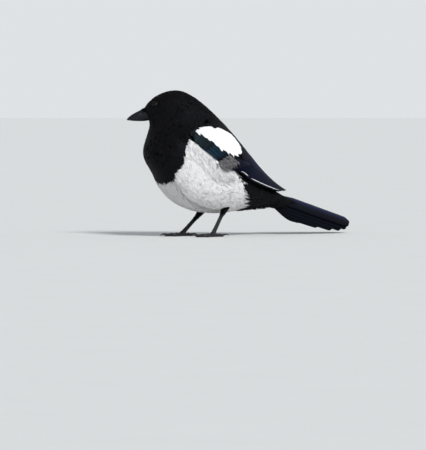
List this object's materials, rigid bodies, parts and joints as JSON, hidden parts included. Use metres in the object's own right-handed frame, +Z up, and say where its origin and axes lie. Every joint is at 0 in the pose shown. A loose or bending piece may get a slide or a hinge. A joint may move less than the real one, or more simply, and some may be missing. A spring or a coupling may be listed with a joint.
{
  "type": "eurasian magpie figure",
  "caption": "Life-size museum model of a Eurasian magpie standing with fluffed breast, folded wings and lowered tail, its head turned to its right.",
  "frame": {"origin": "on the floor under the middle of the bird's bounding box, at the level of the soles", "axes": "+Z up; the bird faces -X and its tail points to +X; its left side is -Y; millimetres in the STEP files, metres in the row"},
  "size_m": [0.3442, 0.1142, 0.2006],
  "materials": {
    "black_plumage": "dull black, faint gloss",
    "white_plumage": "soft white",
    "blue_plumage": "glossy dark blue",
    "tail_plumage": "glossy black with green and blue",
    "horn": "satin blue-black horn",
    "leg_scale": "dull scaled skin",
    "eye": "clear bright"
  },
  "bodies": {
    "root": {"belly": "white_plumage", "breast": "black_plumage", "claw_hind_left": "horn", "claw_hind_right": "horn", "claw_inner_left": "horn", "claw_inner_right": "horn", "claw_middle_left": "horn", "claw_middle_right": "horn", "claw_outer_left": "horn", "claw_outer_right": "horn", "eye_left": "eye", "eye_right": "eye", "foot_left": "leg_scale", "foot_right": "leg_scale", "head": "black_plumage", "lower_bill": "horn", "mantle": "black_plumage", "neck": "black_plumage", "scapulars_left": "white_plumage", "scapulars_right": "white_plumage", "tail": "tail_plumage", "tarsus_left": "leg_scale", "tarsus_right": "leg_scale", "upper_bill": "horn", "vent": "black_plumage", "wing_left": "blue_plumage", "wing_right": "blue_plumage"}
  },
  "joints": []
}
